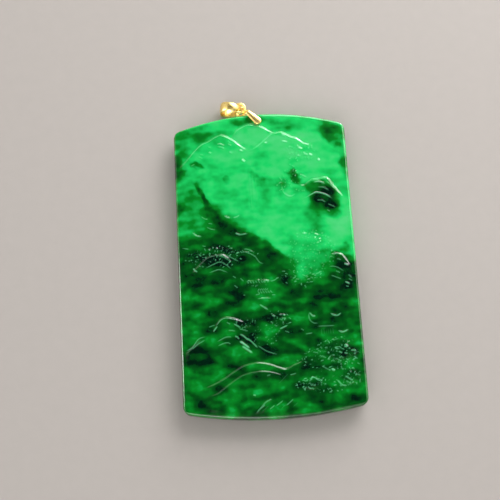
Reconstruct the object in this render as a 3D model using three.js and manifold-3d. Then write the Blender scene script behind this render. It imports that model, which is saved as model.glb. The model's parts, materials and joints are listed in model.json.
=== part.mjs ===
// A jade landscape plaque worn as a pendant, with its gold pinch bail, lying on its back.
//
// The plaque is a tablet with bowed ends. Its face carries a shallow carved landscape: far peaks, a
// waterfall, a cliff, pines, a pavilion, a boat and two river banks. Its back is a plain cushion with a flat
// middle. The bail is two leaves, each with a peg in the plaque's hole and an eye beyond the top edge, and a
// tapered ring through both eyes. Millimetres, +Z up, +Y towards the top of the carved scene.
import * as THREE from "three";
import { mergeVertices } from "three/addons/utils/BufferGeometryUtils.js";
import Module from "manifold-3d";

// Tablet
const WIDTH = 36;
const CORNER_HEIGHT = 58.8;
const TOP_RISE = 3.2;
const FOOT_RISE = 1.9;
const CORNER_RADIUS = 1.3;
const GROUND = 4.2;
const FACE_BEVEL = { width: 0.5, depth: 0.4 };
const BACK = { endCrown: 1.15, sideCrown: 0.45, flatShare: 0.6, bevel: 0.3 };
const BACK_RINGS = [1, 0.97, 0.88, 0.75, BACK.flatShare];
const GRID = { across: 38, along: 60 };
const HOLE = { x: -0.2, y: 30.85, radius: 0.75, sides: 24 };

// Bail: the leaves lie along one line from the hole, and the ring lies to their left, wide end outwards.
const LEAF_TURN = THREE.MathUtils.degToRad(134);
const LEAF = { behindHole: 0.9, eyeAt: 5.05, thickness: 0.56, tipWidth: 1.7, neckWidth: 1.0, steps: 14 };
const LEAF_BEND = { from: 2.7, to: 4.2 };
const FRONT_LEAF = { z: 4.9, eyeZ: 3.35 };
const BACK_LEAF = { z: 0.36, eyeZ: 1.45 };
const EYE = { radius: 1.0, wire: 0.33, sides: 8, steps: 18 };
const PEG = { radius: 0.5, length: 1.6, sides: 12 };
const RING_TURN = THREE.MathUtils.degToRad(173);
const RING = { halfLength: 2.14, halfHeight: 2.0, z: 2.34, steps: 32, towardsHole: 0.18 };
const RING_BAND = { thin: 0.5, thick: 0.5, narrow: 0.86, wide: 2.5, widening: 0.85 };
const BAND_SIDES = 10;

// The carved landscape, from the furthest form to the nearest. A crest goes through its summits and saddles,
// lift is how far it stands over the ground, and the slope below it sinks to its foot over its reach. Past
// the sharp stretch of its crest the whole hill sinks away, and near the rim the carving dies away too.
const HILLS = [
  {
    name: "middle peak",
    crest: [
      [-7.5, 25.8], [-5.7, 27.6], [-4.8, 29.1], [-3.3, 30], [-2, 30.4], [-0.7, 30.1], [0.7, 29.6],
      [1.8, 28.9], [2.8, 28.2], [4.2, 26.9],
    ],
    lift: 0.2,
    foot: 0.1,
    reach: 5,
    sharp: { from: -5.6, to: 2.6 },
  },
  {
    name: "left peak",
    crest: [
      [-19, 19.7], [-16.5, 22], [-15.2, 23.3], [-14, 24.8], [-12.3, 26.4], [-10.7, 27.1],
      [-9.2, 28], [-8, 28.3], [-6.8, 27.8], [-5.7, 27.1], [-4.7, 26.2], [-3.8, 25.4], [-2.8, 24.7],
      [-1.8, 24.2],
    ],
    lift: 0.26,
    foot: 0.04,
    reach: 9,
    sharp: { from: -16.4, to: -2.4 },
  },
  {
    name: "right peak",
    crest: [
      [-3.2, 24.4], [-1.3, 24.9], [0.2, 26], [1.3, 26.9], [2.5, 27.9], [3.5, 28.1], [4.7, 28.1],
      [5.7, 27.6], [6.7, 27], [7.8, 26.6], [9.8, 25], [13.4, 22.4], [16, 21], [19, 19.9],
    ],
    lift: 0.26,
    foot: 0.02,
    reach: 9,
    sharp: { from: -2.4, to: 8.6 },
  },
  {
    name: "cliff",
    crest: [
      [7.2, 12.6], [8.2, 15.5], [9, 16.3], [10, 17.1], [11.7, 17.3], [13.3, 17.5], [14.3, 16.3],
      [15.2, 15], [16, 13.9], [18.5, 11],
    ],
    lift: 0.36,
    foot: 0.1,
    reach: 8,
    sharp: { from: 8.6, to: 15.4 },
  },
  {
    name: "pine hill",
    crest: [
      [-18.5, -4.2], [-16.5, -2.8], [-14.8, -0.8], [-13.2, 0.7], [-12, 1.7], [-10.5, 2.1],
      [-9, 2.2], [-8.2, 1.9], [-7.3, 1.2], [-6.5, 0.4], [-5.3, -1.4], [-4.7, -2.6], [-3.8, -6.5],
    ],
    lift: 0.34,
    foot: 0.06,
    reach: 7,
    sharp: { from: -14.5, to: -8 },
  },
  {
    name: "side rock",
    crest: [
      [11.2, -2.9], [12, -0.9], [13, 0.8], [15, 0.9], [16.3, -0.8], [17.7, -3.2], [19.5, -6.8],
    ],
    lift: 0.3,
    foot: 0.06,
    reach: 7,
    sharp: { from: 12.2, to: 15.8 },
  },
  {
    name: "terraces",
    crest: [
      [-12.6, -13], [-11.8, -12.5], [-10.8, -12.1], [-10, -11.2], [-9, -10.8], [-7.7, -11],
      [-6.7, -11.3], [-4.7, -12.3], [-3.3, -13.5], [-2, -15.4], [-0.7, -17.5], [1.4, -19.3],
    ],
    lift: 0.36,
    foot: 0.08,
    reach: 7,
    sharp: { from: -11.4, to: -6 },
  },
  {
    name: "left shore",
    crest: [
      [-19, -18.1], [-17.8, -17.6], [-16.5, -17.1], [-15.3, -16.1], [-14.2, -15.1], [-12.6, -14.6],
    ],
    lift: 0.28,
    foot: 0.04,
    reach: 5,
    sharp: { from: -17.4, to: -13 },
  },
  {
    name: "far bank",
    crest: [
      [-15, -24.8], [-13.8, -24.6], [-11.7, -23.9], [-9.7, -22.9], [-7.8, -21.7], [-6, -20.7],
      [-4.3, -20.3], [-2.7, -20.2], [-0.7, -20.6], [1, -21.3], [2.5, -21.7], [4, -21], [5.3, -20.5],
      [6.7, -19.9], [8.3, -18.9], [10, -20.3], [12, -22.8], [16.5, -24.6],
    ],
    lift: 0.26,
    foot: 0.14,
    reach: 4,
    sharp: { from: -14.2, to: 5.6 },
  },
  {
    name: "near bank",
    crest: [
      [-15, -26.9], [-13, -26.2], [-11.3, -25.8], [-9.7, -24.7], [-7.8, -23.4], [-6, -22.4],
      [-4, -22], [-2, -21.9], [0, -22.3], [1.8, -22.9], [4.6, -23.5],
    ],
    lift: 0.34,
    foot: 0.1,
    reach: 5,
    sharp: { from: -13.4, to: 2.6 },
  },
  {
    name: "foot rocks",
    crest: [
      [-4.6, -29.9], [-3.8, -29.6], [-2.8, -28.6], [-1.7, -27.6], [-0.3, -27.2], [1.2, -27.6],
      [2.5, -27.4], [4.4, -28.8],
    ],
    lift: 0.24,
    foot: 0.08,
    reach: 3,
    sharp: { from: -4.2, to: 0.2 },
  },
];
const CREST_EDGE = 0.5;
const CREST_FADE = 4;
const CARVING_MARGIN = 1.6;
const HILL_END = 3.4;

// Rounded masses of foliage, standing on whatever is behind them.
const CROWNS = [
  { name: "cliff pine top", x: 6.2, y: 18.1, wide: 2.3, high: 1.5, rise: 0.07 },
  { name: "cliff pine left", x: 4.4, y: 16, wide: 1.5, high: 1.1, rise: 0.05 },
  { name: "cliff pine right", x: 7.4, y: 15.3, wide: 1.6, high: 1.2, rise: 0.05 },
  { name: "hill pine middle", x: -9.6, y: 2.7, wide: 3.8, high: 1.1, rise: 0.09 },
  { name: "hill pine left", x: -14.9, y: 1.7, wide: 2, high: 1.3, rise: 0.08 },
  { name: "hill pine right", x: -3.9, y: 1.8, wide: 1.9, high: 0.9, rise: 0.07 },
  { name: "great tree", x: 9.2, y: 1.7, wide: 4.7, high: 4.3, rise: 0.18 },
  { name: "pavilion trees", x: -2.2, y: -4.1, wide: 2.6, high: 0.8, rise: 0.08 },
  { name: "terrace pine", x: -4.9, y: -12.2, wide: 1.9, high: 1.2, rise: 0.1 },
  { name: "middle pine", x: 1.4, y: -11.8, wide: 2.2, high: 1.7, rise: 0.1 },
  { name: "bank pine", x: 13, y: -18.7, wide: 4.2, high: 2.5, rise: 0.16 },
  { name: "foot pine right", x: 14.8, y: -24, wide: 2.2, high: 1.6, rise: 0.1 },
  { name: "foot pine left", x: 7.2, y: -25, wide: 2.2, high: 1.3, rise: 0.1 },
];

// Flat raised shapes with soft edges.
const SLABS = [
  { name: "pavilion roof", x: -0.9, y: -6.4, wide: 2, high: 0.55, rise: 0.04 },
  { name: "pavilion", x: -0.9, y: -8.1, wide: 1.3, high: 1, rise: 0.05 },
  { name: "boat hull", x: 10.4, y: -13.5, wide: 2.6, high: 0.6, rise: 0.05 },
  { name: "boat awning", x: 10.2, y: -12.1, wide: 1.4, high: 0.8, rise: 0.05 },
  { name: "waterfall", x: -1.9, y: 16.2, wide: 0.9, high: 4.6, rise: 0.05 },
];
const SLAB_EDGE = 0.8;

function smooth(t) {
  const s = THREE.MathUtils.clamp(t, 0, 1);
  return s * s * (3 - 2 * s);
}

// A crest's height at x, on the straight line between its neighbouring points, or null past its ends.
function crestAt(crest, x) {
  for (let i = 1; i < crest.length; i++) {
    const [x0, y0] = crest[i - 1];
    const [x1, y1] = crest[i];
    if (x >= x0 && x <= x1) {
      return THREE.MathUtils.mapLinear(x, x0, x1, y0, y1);
    }
  }
  return null;
}

// How much of a hill covers a point, and how high the hill stands there.
function hillAt({ crest, lift, foot, reach, sharp }, x, y) {
  const top = crestAt(crest, x);
  if (top === null || y > top) {
    return { cover: 0, height: 0 };
  }
  const ends = smooth((x - crest[0][0]) / HILL_END) * smooth((crest.at(-1)[0] - x) / HILL_END);
  const keen = smooth((x - sharp.from) / CREST_FADE + 0.5) * smooth((sharp.to - x) / CREST_FADE + 0.5);
  const height = (foot + (lift - foot) * (1 - smooth((top - y) / reach))) * keen;
  return { cover: smooth((top - y) / CREST_EDGE) * ends, height };
}

// The carving's height over the ground at a point of the face, each form laid over those behind it.
function relief(x, y) {
  let total = 0;
  for (const hill of HILLS) {
    const { cover, height } = hillAt(hill, x, y);
    total += (Math.max(height, total) - total) * cover;
  }
  for (const crown of CROWNS) {
    const away = ((x - crown.x) / crown.wide) ** 2 + ((y - crown.y) / crown.high) ** 2;
    total += crown.rise * smooth(1 - away);
  }
  for (const slab of SLABS) {
    const inset = Math.min(slab.wide - Math.abs(x - slab.x), slab.high - Math.abs(y - slab.y));
    total += slab.rise * smooth(inset / SLAB_EDGE);
  }
  return total;
}

const HALF_WIDTH = WIDTH / 2;
const HALF_HEIGHT = CORNER_HEIGHT / 2;

// Carries a point of a plain rectangle to the tablet: its corners are rounded and its ends are bowed.
function tablet(p, q) {
  let x = Math.abs(p);
  let y = Math.abs(q);
  const s = (x - HALF_WIDTH + CORNER_RADIUS) / CORNER_RADIUS;
  const t = (y - HALF_HEIGHT + CORNER_RADIUS) / CORNER_RADIUS;
  if (s > 0 && t > 0) {
    x = HALF_WIDTH + CORNER_RADIUS * (s * Math.sqrt(1 - (t * t) / 2) - 1);
    y = HALF_HEIGHT + CORNER_RADIUS * (t * Math.sqrt(1 - (s * s) / 2) - 1);
  }
  const rise = q > 0 ? TOP_RISE : FOOT_RISE;
  const bow = rise * (y / HALF_HEIGHT) ** 2 * (1 - (x / HALF_WIDTH) ** 2);
  return [Math.sign(p) * x, Math.sign(q) * (y + bow)];
}

// Grid lines across a side: one at each rim, one where the bevel ends, and even steps between.
function gridLines(half, count) {
  const inner = half - FACE_BEVEL.width;
  const steps = Array.from({ length: count + 1 }, (_, i) => inner * ((2 * i) / count - 1));
  return [-half, ...steps, half];
}

// The face's points, row by row: the carving inside, dying away beside a level rim that is bevelled down.
function facePoints(columns, rows) {
  const points = [];
  for (const q of rows) {
    for (const p of columns) {
      const [x, y] = tablet(p, q);
      const inset = Math.min(HALF_WIDTH - Math.abs(p), HALF_HEIGHT - Math.abs(q));
      const bevel = inset === 0 ? FACE_BEVEL.depth : 0;
      points.push([x, y, GROUND + relief(x, y) * smooth(inset / CARVING_MARGIN) - bevel]);
    }
  }
  return points;
}

// Two triangles for each cell of the grid, folded along the diagonal that is more nearly level.
function faceTriangles(points, wide, high) {
  const faces = [];
  for (let j = 0; j + 1 < high; j++) {
    for (let i = 0; i + 1 < wide; i++) {
      const a = j * wide + i;
      const [b, c, d] = [a + 1, a + wide + 1, a + wide];
      const level = Math.abs(points[a][2] - points[c][2]) < Math.abs(points[b][2] - points[d][2]);
      faces.push(...(level ? [a, b, c, a, c, d] : [a, b, d, b, c, d]));
    }
  }
  return faces;
}

// The rim of the grid once round, anticlockwise, as each point's number and its place on the plain rectangle.
function rimOf(columns, rows) {
  const [lastColumn, lastRow] = [columns.length - 1, rows.length - 1];
  const foot = columns.slice(0, -1).map((p, i) => [i, 0]);
  const right = rows.slice(0, -1).map((q, j) => [lastColumn, j]);
  const top = columns.slice(1).map((p, i) => [i + 1, lastRow]).reverse();
  const left = rows.slice(1).map((q, j) => [0, j + 1]).reverse();
  return [...foot, ...right, ...top, ...left].map(([i, j]) => {
    return { at: j * columns.length + i, p: columns[i], q: rows[j] };
  });
}

// The back's height on a ring that stands at a share of the rim's distance: flat, then crowned to the rim.
function backHeight(share, q) {
  const crown = BACK.sideCrown + (BACK.endCrown - BACK.sideCrown) * (q / HALF_HEIGHT) ** 4;
  const out = (share - BACK.flatShare) / (1 - BACK.flatShare);
  return crown * out ** 2 + (share === 1 ? BACK.bevel : 0);
}

// The tablet as one closed skin: the carved face, the wall, and the cushioned back as shrinking rings.
function tabletGeometry() {
  const columns = gridLines(HALF_WIDTH, GRID.across);
  const rows = gridLines(HALF_HEIGHT, GRID.along);
  const points = facePoints(columns, rows);
  const faces = faceTriangles(points, columns.length, rows.length);
  const rim = rimOf(columns, rows);
  let upper = rim.map((r) => r.at);
  for (const share of BACK_RINGS) {
    const lower = rim.map(({ p, q }) => {
      return points.push([...tablet(p * share, q * share), backHeight(share, q)]) - 1;
    });
    for (let i = 0; i < rim.length; i++) {
      const next = (i + 1) % rim.length;
      faces.push(upper[i], lower[i], upper[next], upper[next], lower[i], lower[next]);
    }
    upper = lower;
  }
  const flat = upper.map((i) => new THREE.Vector2(points[i][0], points[i][1]));
  for (const [a, b, c] of THREE.ShapeUtils.triangulateShape(flat, [])) {
    faces.push(upper[a], upper[c], upper[b]);
  }
  return skin(points, faces);
}

// A geometry from a list of points and a list of triangles.
function skin(points, faces) {
  const geometry = new THREE.BufferGeometry();
  geometry.setAttribute("position", new THREE.Float32BufferAttribute(points.flat(), 3));
  geometry.setIndex(faces);
  return geometry;
}

const wasm = await Module();
wasm.setup();

// A closed geometry as a solid that can be joined and cut.
function solidOf(geometry) {
  const bare = geometry.clone();
  bare.deleteAttribute("normal");
  bare.deleteAttribute("uv");
  const merged = mergeVertices(bare, 1e-4);
  const vertProperties = new Float32Array(merged.attributes.position.array);
  const triVerts = new Uint32Array(merged.index.array);
  return new wasm.Manifold(new wasm.Mesh({ numProp: 3, vertProperties, triVerts }));
}

// A joined or cut solid as a geometry again.
function geometryOf(solid) {
  const mesh = solid.getMesh();
  const geometry = new THREE.BufferGeometry();
  geometry.setAttribute("position", new THREE.BufferAttribute(mesh.vertProperties, mesh.numProp));
  geometry.setIndex(new THREE.BufferAttribute(mesh.triVerts, 1));
  return geometry;
}

// An upright cylinder between two heights.
function post(radius, low, high, sides) {
  const geometry = new THREE.CylinderGeometry(radius, radius, high - low, sides);
  return geometry.rotateX(Math.PI / 2).translate(0, 0, (low + high) / 2);
}

// A closed skin through a row of sections with as many points each, capped at both ends or joined end to end.
function loft(sections, endToEnd) {
  const sides = sections[0].length;
  const spans = endToEnd ? sections.length : sections.length - 1;
  const faces = [];
  for (let k = 0; k < spans; k++) {
    const here = k * sides;
    const there = ((k + 1) % sections.length) * sides;
    for (let i = 0; i < sides; i++) {
      const j = (i + 1) % sides;
      faces.push(here + i, there + j, there + i, here + i, here + j, there + j);
    }
  }
  const last = spans * sides;
  for (let i = 1; i + 1 < sides && !endToEnd; i++) {
    faces.push(0, i + 1, i, last, last + i, last + i + 1);
  }
  return skin(sections.flat(), faces);
}

// An ellipse of points about a centre, with its two half axes.
function ellipse(centre, halfU, halfV) {
  return Array.from({ length: BAND_SIDES }, (_, i) => {
    const turn = (2 * Math.PI * i) / BAND_SIDES;
    const point = centre.clone().addScaledVector(halfU, Math.cos(turn));
    return point.addScaledVector(halfV, Math.sin(turn)).toArray();
  });
}

// A leaf along +X from the hole at the origin: a drop-shaped tongue, round behind the hole, bent to its eye.
function tongue(z, eyeZ) {
  const length = LEAF.eyeAt - EYE.radius + LEAF.behindHole;
  const sections = Array.from({ length: LEAF.steps + 1 }, (_, i) => {
    const share = (1 - Math.cos((Math.PI * i) / LEAF.steps)) / 2;
    const x = length * share - LEAF.behindHole;
    const toTip = Math.max(0, 1 - (length * share) / LEAF.behindHole);
    const round = Math.sqrt(Math.max(0.02, 1 - toTip ** 2));
    const width = THREE.MathUtils.lerp(LEAF.tipWidth, LEAF.neckWidth, smooth(share)) * round;
    const bend = smooth((x - LEAF_BEND.from) / (LEAF_BEND.to - LEAF_BEND.from));
    const centre = new THREE.Vector3(x, 0, z + (eyeZ - z) * bend);
    const halfThick = new THREE.Vector3(0, 0, (LEAF.thickness / 2) * round);
    return ellipse(centre, new THREE.Vector3(0, width / 2, 0), halfThick);
  });
  return loft(sections, false);
}

// A whole leaf: its tongue, the eye at its end and the peg that goes into the plaque's hole.
function leafGeometry({ z, eyeZ }) {
  const eye = new THREE.TorusGeometry(EYE.radius, EYE.wire, EYE.sides, EYE.steps);
  const pegEnd = z + Math.sign(eyeZ - z) * PEG.length;
  const peg = post(PEG.radius, Math.min(z, pegEnd), Math.max(z, pegEnd), PEG.sides);
  const joined = solidOf(tongue(z, eyeZ)).add(solidOf(eye.translate(LEAF.eyeAt, 0, eyeZ))).add(solidOf(peg));
  return geometryOf(joined);
}

// The ring along +X from the eyes at the origin, standing on edge: a thin round wire where it runs through
// the eyes, widening to a broad band at the far side, where the chain lies.
function ringGeometry() {
  const sections = Array.from({ length: RING.steps }, (_, i) => {
    const turn = (2 * Math.PI * i) / RING.steps;
    const away = (1 - Math.cos(turn)) / 2;
    const outwards = new THREE.Vector3(-Math.cos(turn), 0, Math.sin(turn));
    const centre = new THREE.Vector3(RING.halfLength * outwards.x, 0, RING.halfHeight * outwards.z);
    const width = THREE.MathUtils.lerp(RING_BAND.narrow, RING_BAND.wide, away ** RING_BAND.widening);
    const depth = THREE.MathUtils.lerp(RING_BAND.thin, RING_BAND.thick, away);
    return ellipse(centre, new THREE.Vector3(0, width / 2, 0), outwards.multiplyScalar(depth / 2));
  });
  return loft(sections, true).translate(RING.halfLength - RING.towardsHole, 0, 0);
}

const jade = new THREE.MeshStandardMaterial({ color: 0x0e9a45, roughness: 0.14, metalness: 0 });
const gold = new THREE.MeshStandardMaterial({ color: 0xe8b64c, roughness: 0.18, metalness: 1 });

function named(name, geometry, material) {
  const mesh = new THREE.Mesh(geometry, material);
  mesh.name = name;
  return mesh;
}

// The bail, about the hole's axis: both leaves at one turn, and the ring from their eyes at its own.
function bail() {
  const leaves = new THREE.Group();
  leaves.rotation.z = LEAF_TURN;
  leaves.add(named("bail_front_leaf", leafGeometry(FRONT_LEAF), gold));
  leaves.add(named("bail_back_leaf", leafGeometry(BACK_LEAF), gold));
  const ring = named("bail_ring", ringGeometry(), gold);
  ring.position.set(LEAF.eyeAt * Math.cos(LEAF_TURN), LEAF.eyeAt * Math.sin(LEAF_TURN), RING.z);
  ring.rotation.z = RING_TURN;
  const whole = new THREE.Group();
  whole.position.set(HOLE.x, HOLE.y, 0);
  whole.add(leaves, ring);
  return whole;
}

// The plaque: the tablet with the bail's hole drilled right through it near the top.
function plaque() {
  const drill = post(HOLE.radius, -1, GROUND + 2, HOLE.sides).translate(HOLE.x, HOLE.y, 0);
  return named("jade_plaque", geometryOf(solidOf(tabletGeometry()).subtract(solidOf(drill))), jade);
}

// The origin is under the middle of the whole pendant, on the surface that it lies on.
const pendant = new THREE.Group();
pendant.add(plaque(), bail());
const box = new THREE.Box3().setFromObject(pendant);
const middle = box.getCenter(new THREE.Vector3());
pendant.position.set(-middle.x, -middle.y, -box.min.z);

export default pendant;
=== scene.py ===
"""A carved jade pendant and its gold pinch bail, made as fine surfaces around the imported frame.

Shapes are worked out in millimetres on the drawing's own plane, whose origin is the middle of the tablet's
four corners, and are placed in metres when they become meshes.
"""
import json
import math

import bpy
import numpy as np
from bpy.props import FloatProperty, FloatVectorProperty, IntProperty, PointerProperty
from bpy.types import Operator, Panel, PropertyGroup
from mathutils import Matrix, Vector


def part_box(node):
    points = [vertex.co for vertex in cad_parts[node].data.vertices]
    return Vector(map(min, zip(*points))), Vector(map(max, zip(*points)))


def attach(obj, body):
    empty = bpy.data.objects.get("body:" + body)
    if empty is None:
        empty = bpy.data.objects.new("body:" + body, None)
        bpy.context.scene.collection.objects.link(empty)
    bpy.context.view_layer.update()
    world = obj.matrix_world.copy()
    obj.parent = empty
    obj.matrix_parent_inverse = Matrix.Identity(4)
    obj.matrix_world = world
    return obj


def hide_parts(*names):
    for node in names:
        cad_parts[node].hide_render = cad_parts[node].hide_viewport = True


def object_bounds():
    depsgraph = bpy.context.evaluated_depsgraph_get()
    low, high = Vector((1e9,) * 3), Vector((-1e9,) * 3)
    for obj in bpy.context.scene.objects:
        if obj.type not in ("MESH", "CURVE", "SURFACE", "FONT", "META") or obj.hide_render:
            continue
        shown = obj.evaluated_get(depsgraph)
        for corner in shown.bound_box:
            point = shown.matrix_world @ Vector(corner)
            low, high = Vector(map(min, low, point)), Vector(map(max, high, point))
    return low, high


bl_info = {
    "name": "Jade Landscape Pendant",
    "version": (1, 0, 0),
    "blender": (4, 5, 0),
    "location": "View3D > Sidebar > Pendant",
    "description": "Makes a carved jade tablet with its gold bail, and the stage it lies on",
    "category": "Object",
}

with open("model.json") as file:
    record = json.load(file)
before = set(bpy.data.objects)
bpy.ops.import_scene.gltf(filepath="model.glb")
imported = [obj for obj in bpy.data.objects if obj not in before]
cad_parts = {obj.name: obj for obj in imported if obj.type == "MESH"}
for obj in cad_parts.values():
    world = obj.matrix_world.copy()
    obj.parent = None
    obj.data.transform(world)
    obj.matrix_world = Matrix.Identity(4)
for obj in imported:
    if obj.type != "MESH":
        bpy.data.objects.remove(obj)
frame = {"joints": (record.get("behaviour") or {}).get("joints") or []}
CAD_LOW, CAD_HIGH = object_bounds()
MM = 0.001
SHARP_ANGLE = math.radians(62)

# The tablet, in millimetres.
WIDTH = 36.0
CORNER_HEIGHT = 58.8
TOP_RISE = 3.2
FOOT_RISE = 1.9
CORNER_RADIUS = 1.3
GROUND = 4.2
HALF_WIDTH = WIDTH / 2
HALF_HEIGHT = CORNER_HEIGHT / 2
FACE_EDGE = {"width": 0.5, "depth": 0.4}
BACK = {"end_crown": 1.15, "side_crown": 0.45, "flat_share": 0.6, "edge": 0.3, "drawn_in": 0.012}
HOLE_RADIUS = 0.75
DRILL = {"below": 2.0, "above": 3.0, "sides": 48}
CARVING_MARGIN = 1.6

# The drawing's origin in the frame: the tablet's rim tells where the middle of its corners is.
TABLET_LOW, TABLET_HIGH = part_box("jade_plaque")
DRAWING = Vector((
    (TABLET_LOW.x + TABLET_HIGH.x) / 2,
    TABLET_HIGH.y - (HALF_HEIGHT + TOP_RISE) * MM,
    TABLET_LOW.z,
))
HINGE = Vector(frame["joints"][0]["pos_m"])
HOLE = ((HINGE.x - DRAWING.x) / MM, (HINGE.y - DRAWING.y) / MM)

# The bail, in millimetres along its own line from the hole.
LEAF = {"behind_hole": 0.9, "eye_at": 5.05, "thickness": 0.56, "tip_width": 1.7, "neck_width": 1.0}
LEAF_TURN = math.radians(134)
LEAF_BEND = (2.7, 4.2)
# Each leaf: its node, and the heights of its tongue and of its eye.
LEAVES = {"Front_leaf": ("bail_front_leaf", 4.9, 3.35), "Back_leaf": ("bail_back_leaf", 0.36, 1.45)}
EYE = {"radius": 1.0, "wire": 0.33}
PEG = {"radius": 0.5, "length": 1.6}
SKIN_CELL = 0.045
RING_TURN = math.radians(173)
RING = {"half_length": 2.14, "half_height": 2.0, "z": 2.34, "towards_hole": 0.18}
BAND = {"depth": 0.5, "narrow": 0.86, "wide": 2.5, "widening": 0.85}

# Cuts of the graver: each kind is its height over what it stands on and its half width.
FAINT, FINE, BOLD, BRIGHT = (0.035, 0.12), (0.07, 0.12), (0.1, 0.13), (0.13, 0.17)

# Hills, the furthest first: crest points, lift over the ground, height at the foot, reach of the slope below
# the crest, the kind of cut that runs along the crest, and from where to where it runs.
HILLS = {
    "middle peak": (
        [(-7.5, 25.8), (-5.7, 27.6), (-4.8, 29.1), (-3.3, 30), (-2, 30.4), (-0.7, 30.1), (0.7, 29.6),
         (1.8, 28.9), (2.8, 28.2), (4.2, 26.9)],
        0.2, 0.1, 5, FINE, (-5.6, 2.6),
    ),
    "left peak": (
        [(-19, 19.7), (-16.5, 22), (-15.2, 23.3), (-14, 24.8), (-12.3, 26.4), (-10.7, 27.1), (-9.2, 28),
         (-8, 28.3), (-6.8, 27.8), (-5.7, 27.1), (-4.7, 26.2), (-3.8, 25.4), (-2.8, 24.7), (-1.8, 24.2)],
        0.26, 0.04, 9, FINE, (-16.4, -2.4),
    ),
    "right peak": (
        [(-3.2, 24.4), (-1.3, 24.9), (0.2, 26), (1.3, 26.9), (2.5, 27.9), (3.5, 28.1), (4.7, 28.1),
         (5.7, 27.6), (6.7, 27), (7.8, 26.6), (9.8, 25), (13.4, 22.4), (16, 21), (19, 19.9)],
        0.26, 0.02, 9, FINE, (-2.4, 8.6),
    ),
    "cliff": (
        [(7.2, 12.6), (8.2, 15.5), (9, 16.3), (10, 17.1), (11.7, 17.3), (13.3, 17.5), (14.3, 16.3),
         (15.2, 15), (16, 13.9), (18.5, 11)],
        0.36, 0.1, 8, FAINT, (8.6, 15.4),
    ),
    "pine hill": (
        [(-18.5, -4.2), (-16.5, -2.8), (-14.8, -0.8), (-13.2, 0.7), (-12, 1.7), (-10.5, 2.1), (-9, 2.2),
         (-8.2, 1.9), (-7.3, 1.2), (-6.5, 0.4), (-5.3, -1.4), (-4.7, -2.6), (-3.8, -6.5)],
        0.34, 0.06, 7, FAINT, (-14.5, -8),
    ),
    "side rock": (
        [(11.2, -2.9), (12, -0.9), (13, 0.8), (15, 0.9), (16.3, -0.8), (17.7, -3.2), (19.5, -6.8)],
        0.3, 0.06, 7, FAINT, (12.2, 15.8),
    ),
    "terraces": (
        [(-12.6, -13), (-11.8, -12.5), (-10.8, -12.1), (-10, -11.2), (-9, -10.8), (-7.7, -11),
         (-6.7, -11.3), (-4.7, -12.3), (-3.3, -13.5), (-2, -15.4), (-0.7, -17.5), (1.4, -19.3)],
        0.36, 0.08, 7, FINE, (-11.4, -6),
    ),
    "left shore": (
        [(-19, -18.1), (-17.8, -17.6), (-16.5, -17.1), (-15.3, -16.1), (-14.2, -15.1), (-12.6, -14.6)],
        0.28, 0.04, 5, FAINT, (-17.4, -13),
    ),
    "far bank": (
        [(-15, -24.8), (-13.8, -24.6), (-11.7, -23.9), (-9.7, -22.9), (-7.8, -21.7), (-6, -20.7),
         (-4.3, -20.3), (-2.7, -20.2), (-0.7, -20.6), (1, -21.3), (2.5, -21.7), (4, -21), (5.3, -20.5),
         (6.7, -19.9), (8.3, -18.9), (10, -20.3), (12, -22.8), (16.5, -24.6)],
        0.26, 0.14, 4, FAINT, (-14.2, 5.6),
    ),
    "near bank": (
        [(-15, -26.9), (-13, -26.2), (-11.3, -25.8), (-9.7, -24.7), (-7.8, -23.4), (-6, -22.4),
         (-4, -22), (-2, -21.9), (0, -22.3), (1.8, -22.9), (4.6, -23.5)],
        0.34, 0.1, 5, FAINT, (-13.4, 2.6),
    ),
    "foot rocks": (
        [(-4.6, -29.9), (-3.8, -29.6), (-2.8, -28.6), (-1.7, -27.6), (-0.3, -27.2), (1.2, -27.6),
         (2.5, -27.4), (4.4, -28.8)],
        0.24, 0.08, 3, FINE, (-4.2, 0.2),
    ),
}
CREST_EDGE = 0.3
CREST_FADE = 4.0
HILL_END = 3.4
CREST_CUT = 0.34

# Foliage masses: middle, half width, half height, rise, and how their surface is cut.
NEEDLES, FLECKS, SPECKLES = "needles", "flecks", "speckles"
CROWNS = {
    "cliff pine top": (6.2, 18.1, 2.3, 1.5, 0.07, SPECKLES),
    "cliff pine left": (4.4, 16, 1.5, 1.1, 0.05, SPECKLES),
    "cliff pine right": (7.4, 15.3, 1.6, 1.2, 0.05, SPECKLES),
    "hill pine middle": (-9.6, 2.7, 3.8, 1.1, 0.09, NEEDLES),
    "hill pine left": (-14.9, 1.7, 2, 1.3, 0.08, SPECKLES),
    "hill pine right": (-3.9, 1.8, 1.9, 0.9, 0.07, NEEDLES),
    "great tree": (9.2, 1.7, 4.7, 4.3, 0.18, SPECKLES),
    "pavilion trees": (-2.2, -4.1, 2.6, 0.8, 0.08, SPECKLES),
    "terrace pine": (-4.9, -12.2, 1.9, 1.2, 0.1, SPECKLES),
    "middle pine": (1.4, -11.8, 2.2, 1.7, 0.1, FLECKS),
    "bank pine": (13, -18.7, 4.2, 2.5, 0.16, FLECKS),
    "foot pine right": (14.8, -24, 2.2, 1.6, 0.1, FLECKS),
    "foot pine left": (7.2, -25, 2.2, 1.3, 0.1, FLECKS),
}

# Sprays of short cuts and dots outside the masses: middle, half width, half height and how they are cut.
SPRAYS = {
    "right ridge": (8.4, 23.2, 3.4, 1.7, SPECKLES),
    "hill": (-10.2, 1.4, 4.4, 2, NEEDLES),
    "under the great tree": (6.3, -3.4, 4, 1.8, FLECKS),
    "valley": (-1.2, -14.9, 2.8, 1.8, SPECKLES),
    "bank": (10.6, -20.4, 5.8, 2.3, FLECKS),
    "foot": (9.6, -25.2, 5.4, 1.5, FLECKS),
}

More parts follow.
